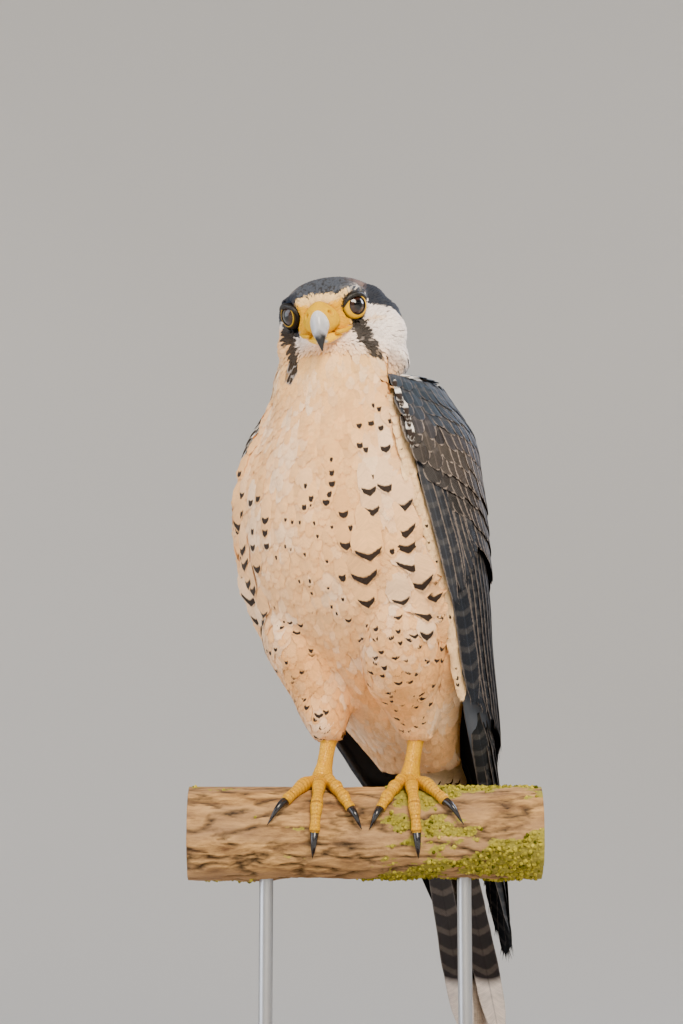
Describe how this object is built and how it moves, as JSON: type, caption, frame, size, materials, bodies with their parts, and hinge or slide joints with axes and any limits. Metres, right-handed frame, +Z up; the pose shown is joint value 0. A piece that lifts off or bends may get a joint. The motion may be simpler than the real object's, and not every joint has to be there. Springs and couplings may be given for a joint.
{
  "type": "peregrine falcon",
  "caption": "Life-size still model of a perched peregrine falcon, wings folded, gripping a cut branch on a plain display stand.",
  "frame": {"origin": "middle of the underside of the stand's round base", "axes": "+Z up, the bird's body faces -Y, its left side is towards +X"},
  "size_m": [0.25, 0.25, 0.4679],
  "materials": {
    "feathers_slate": "overlapping feathers, slate blue-grey with pale edges and bars",
    "feathers_pale": "soft feathers, cream and buff with dark spots and bars",
    "bare_skin": "waxy and scaly yellow skin",
    "horn": "polished horn, pale blue-grey with a black tip",
    "eye": "wet, very dark brown",
    "claw_horn": "smooth black horn",
    "bark": "rough bark with moss",
    "base_wood": "oiled hardwood, satin",
    "rod_steel": "brushed"
  },
  "bodies": {
    "root": {"head": "feathers_slate", "cere": "bare_skin", "bill_upper": "horn", "bill_lower": "horn", "eye_left": "eye", "eye_right": "eye", "neck": "feathers_pale", "torso": "feathers_pale", "wing_left": "feathers_slate", "wing_right": "feathers_slate", "tail": "feathers_slate", "thigh_left": "feathers_pale", "thigh_right": "feathers_pale", "shank_left": "bare_skin", "shank_right": "bare_skin", "foot_left": "bare_skin", "foot_right": "bare_skin", "claw_inner_left": "claw_horn", "claw_middle_left": "claw_horn", "claw_outer_left": "claw_horn", "claw_hind_left": "claw_horn", "claw_inner_right": "claw_horn", "claw_middle_right": "claw_horn", "claw_outer_right": "claw_horn", "claw_hind_right": "claw_horn", "perch_branch": "bark", "stand_base": "base_wood", "stand_rod_left": "rod_steel", "stand_rod_right": "rod_steel"}
  },
  "joints": []
}
